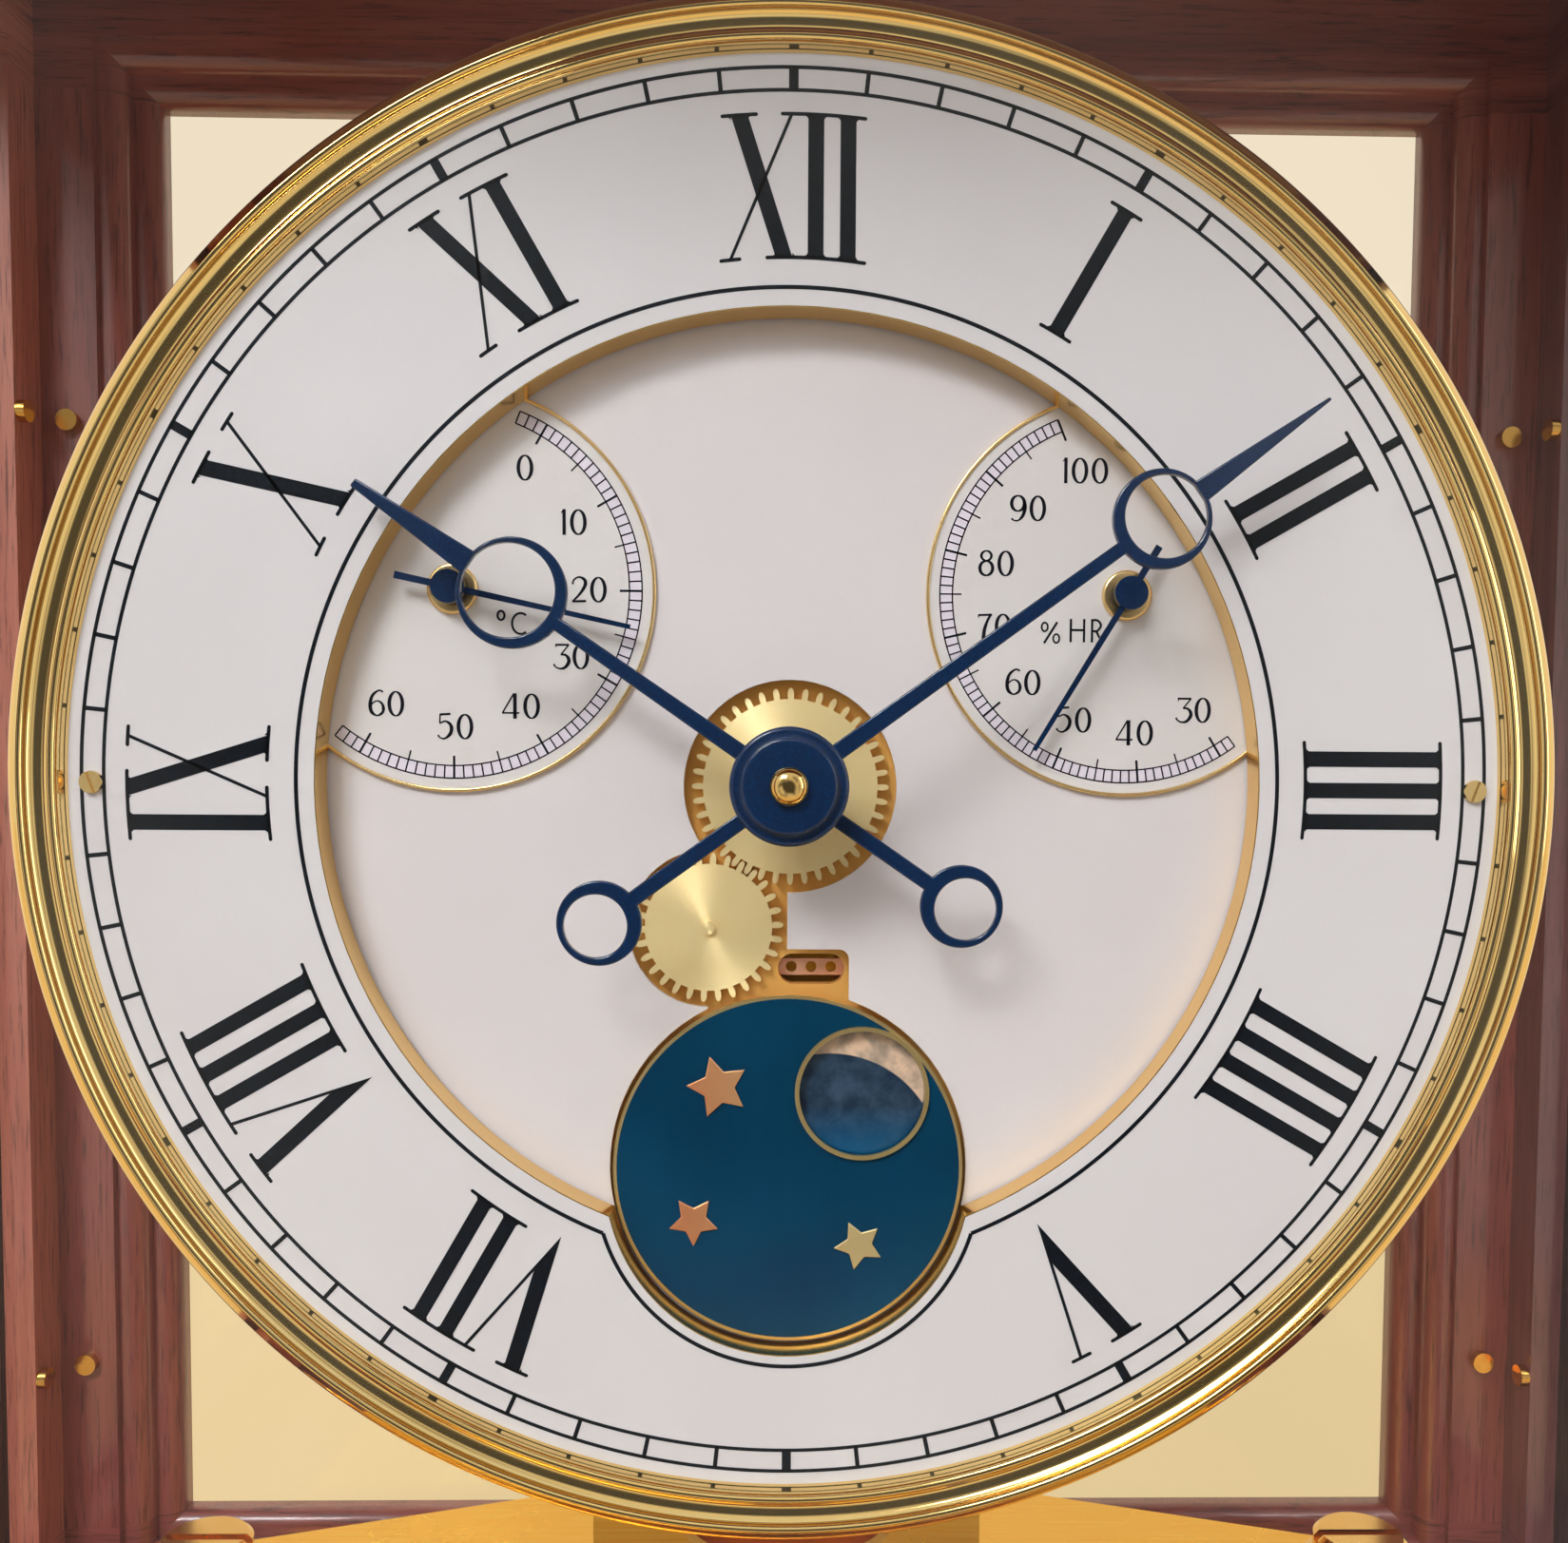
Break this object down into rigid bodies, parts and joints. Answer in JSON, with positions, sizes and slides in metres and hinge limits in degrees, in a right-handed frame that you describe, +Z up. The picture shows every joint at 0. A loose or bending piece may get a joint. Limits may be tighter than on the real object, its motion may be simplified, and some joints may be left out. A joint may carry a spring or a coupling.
{
  "type": "moon phase desk clock",
  "caption": "Mantel clock in a glazed wooden case, with a round dial, moon phase window, thermometer and hygrometer over a torsion balance movement.",
  "frame": {"origin": "middle of the footprint on the table", "axes": "+Z up, +X to the right seen from the front, dial faces -Y"},
  "size_m": [0.258, 0.176, 0.29],
  "materials": {
    "balance_wheel": "polished gilded brass",
    "bellows_drum": "fine-turned gilded brass",
    "bezel": "polished gilded brass",
    "cannon_pinion": "polished gilded brass",
    "case_base": "high gloss lacquered mahogany",
    "case_feet": "satin brass",
    "case_hinge_leaves": "polished gilded brass",
    "case_top": "high gloss lacquered mahogany",
    "centre_wheel": "polished gilded brass",
    "chapter_rim": "polished gilded brass",
    "chapter_ring": "matt silver-white",
    "dial_screws": "polished gilded brass",
    "dial_seat_ring": "polished gilded brass",
    "dial_spacers": "polished gilded brass",
    "dial_train_plate": "polished gilded brass",
    "door_frame": "high gloss lacquered mahogany",
    "door_glass": "clear polished float glass",
    "door_hinge_leaves": "polished gilded brass",
    "door_knob": "polished gilded brass",
    "escape_wheel": "polished gilded brass",
    "floor_plate": "polished gilded brass",
    "frame_pins": "polished gilded brass",
    "hand_nut": "polished gilded brass",
    "hour_hand": "gloss blue-black enamel",
    "hour_wheel": "polished gilded brass",
    "hygrometer_dial": "matt silver-white",
    "hygrometer_pointer": "gloss blue-black enamel",
    "idler_wheel": "polished gilded brass",
    "left_side_frame": "high gloss lacquered mahogany",
    "lock_lever": "polished steel",
    "main_dial_plate": "matt warm white",
    "mainspring_barrel": "polished gilded brass",
    "minute_hand": "gloss blue-black enamel",
    "minute_wheel": "polished gilded brass",
    "month_wheel": "polished gilded brass",
    "moon_disc": "satin teal-blue lacquer",
    "moon_driving_wheel": "polished gilded brass",
    "moon_phase_plate": "gloss printed moon and sky",
    "moon_rings": "polished gilded brass",
    "moon_stars": "polished gilded brass",
    "moon_wheel": "polished gilded brass",
    "movement_back_plate": "polished gilded brass",
    "movement_front_plate": "polished gilded brass",
    "movement_pillars": "polished gilded brass",
    "pallet_fork": "polished steel",
    "platform": "polished gilded brass",
    "platform_pillars": "polished steel",
    "platform_screws": "polished gilded brass",
    "rear_frame": "high gloss lacquered mahogany",
    "rear_glass": "clear polished float glass",
    "right_side_frame": "high gloss lacquered mahogany",
    "sensor_capsules": "bare pressed aluminium",
    "side_glasses": "clear polished float glass",
    "spirit_level": "polished gilded brass",
    "subdial_trims": "polished gilded brass",
    "suspension_bracket": "polished steel",
    "thermometer_dial": "matt silver-white",
    "thermometer_pointer": "gloss blue-black enamel",
    "three_hole_strip": "polished gilded brass",
    "torsion_wire": "polished steel"
  },
  "bodies": {
    "case": {"bellows_drum": "bellows_drum", "bezel": "bezel", "case_base": "case_base", "case_feet": "case_feet", "case_hinge_leaves": "case_hinge_leaves", "case_top": "case_top", "chapter_rim": "chapter_rim", "chapter_ring": "chapter_ring", "dial_screws": "dial_screws", "dial_seat_ring": "dial_seat_ring", "dial_spacers": "dial_spacers", "dial_train_plate": "dial_train_plate", "floor_plate": "floor_plate", "frame_pins": "frame_pins", "hygrometer_dial": "hygrometer_dial", "left_side_frame": "left_side_frame", "main_dial_plate": "main_dial_plate", "moon_phase_plate": "moon_phase_plate", "movement_back_plate": "movement_back_plate", "movement_front_plate": "movement_front_plate", "movement_pillars": "movement_pillars", "platform": "platform", "platform_pillars": "platform_pillars", "platform_screws": "platform_screws", "rear_frame": "rear_frame", "rear_glass": "rear_glass", "right_side_frame": "right_side_frame", "sensor_capsules": "sensor_capsules", "side_glasses": "side_glasses", "spirit_level": "spirit_level", "subdial_trims": "subdial_trims", "suspension_bracket": "suspension_bracket", "thermometer_dial": "thermometer_dial", "three_hole_strip": "three_hole_strip", "torsion_wire": "torsion_wire"},
    "door": {"door_frame": "door_frame", "door_glass": "door_glass", "door_knob": "door_knob", "door_hinge_leaves": "door_hinge_leaves"},
    "lock_lever": {"lock_lever": "lock_lever"},
    "balance": {"balance_wheel": "balance_wheel"},
    "minute": {"minute_hand": "minute_hand", "hand_nut": "hand_nut", "cannon_pinion": "cannon_pinion", "centre_wheel": "centre_wheel"},
    "hour": {"hour_hand": "hour_hand", "hour_wheel": "hour_wheel", "moon_driving_wheel": "moon_driving_wheel"},
    "minute_wheel": {"minute_wheel": "minute_wheel"},
    "idler": {"idler_wheel": "idler_wheel"},
    "month": {"month_wheel": "month_wheel"},
    "moon": {"moon_wheel": "moon_wheel", "moon_disc": "moon_disc", "moon_rings": "moon_rings", "moon_stars": "moon_stars"},
    "escape": {"escape_wheel": "escape_wheel"},
    "barrel": {"mainspring_barrel": "mainspring_barrel"},
    "pallet": {"pallet_fork": "pallet_fork"},
    "thermometer": {"thermometer_pointer": "thermometer_pointer"},
    "hygrometer": {"hygrometer_pointer": "hygrometer_pointer"}
  },
  "joints": [
    {"name": "minute_turn", "type": "hinge", "parent": "case", "child": "minute", "pos_m": [0, -0.014, 0.163], "axis": [0, 1, 0], "continuous": true},
    {"name": "hour_turn", "type": "hinge", "parent": "case", "child": "hour", "pos_m": [0, -0.014, 0.163], "axis": [0, 1, 0], "continuous": true},
    {"name": "minute_wheel_turn", "type": "hinge", "parent": "case", "child": "minute_wheel", "pos_m": [0.00779, -0.014, 0.1675], "axis": [0, 1, 0], "continuous": true},
    {"name": "idler_turn", "type": "hinge", "parent": "case", "child": "idler", "pos_m": [-0.00724, -0.014, 0.15041], "axis": [0, 1, 0], "continuous": true},
    {"name": "month_turn", "type": "hinge", "parent": "case", "child": "month", "pos_m": [-0.00873, -0.014, 0.14092], "axis": [0, 1, 0], "continuous": true},
    {"name": "moon_turn", "type": "hinge", "parent": "case", "child": "moon", "pos_m": [0, -0.014, 0.1291], "axis": [0, 1, 0], "continuous": true},
    {"name": "escape_turn", "type": "hinge", "parent": "case", "child": "escape", "pos_m": [0, -0.001, 0.17425], "axis": [0, 1, 0], "continuous": true},
    {"name": "barrel_turn", "type": "hinge", "parent": "case", "child": "barrel", "pos_m": [-0.01289, -0.001, 0.15011], "axis": [0, 1, 0], "continuous": true},
    {"name": "pallet_rock", "type": "hinge", "parent": "case", "child": "pallet", "pos_m": [0, -0.001, 0.18305], "axis": [0, 1, 0], "range_deg": [-6, 6]},
    {"name": "thermometer_turn", "type": "hinge", "parent": "case", "child": "thermometer", "pos_m": [-0.0294, -0.014, 0.17995], "axis": [0, 1, 0], "range_deg": [-82, 118]},
    {"name": "hygrometer_turn", "type": "hinge", "parent": "case", "child": "hygrometer", "pos_m": [0.0294, -0.014, 0.17995], "axis": [0, 1, 0], "range_deg": [-57, 129]},
    {"name": "balance_turn", "type": "hinge", "parent": "case", "child": "balance", "pos_m": [0, 0.011, 0.06], "axis": [0, 0, 1], "range_deg": [-270, 270], "stiffness_Nm_per_rad": 0.0000012},
    {"name": "lock_lever_turn", "type": "hinge", "parent": "case", "child": "lock_lever", "pos_m": [0.026, -0.041, 0.04], "axis": [0, 0, 1], "range_deg": [-34, 20]},
    {"name": "door_swing", "type": "hinge", "parent": "case", "child": "door", "pos_m": [0.1236, -0.0804, 0.1565], "axis": [0, 0, 1], "range_deg": [0, 110]}
  ],
  "couplings": [
    {"joint": "hour_turn", "follows": "minute_turn", "ratio": 0.083333},
    {"joint": "minute_wheel_turn", "follows": "minute_turn", "ratio": -0.33333},
    {"joint": "idler_turn", "follows": "minute_turn", "ratio": -0.11111},
    {"joint": "month_turn", "follows": "minute_turn", "ratio": 0.015873},
    {"joint": "moon_turn", "follows": "minute_turn", "ratio": -0.0014109},
    {"joint": "escape_turn", "follows": "minute_turn", "ratio": -4},
    {"joint": "barrel_turn", "follows": "minute_turn", "ratio": -0.125}
  ]
}
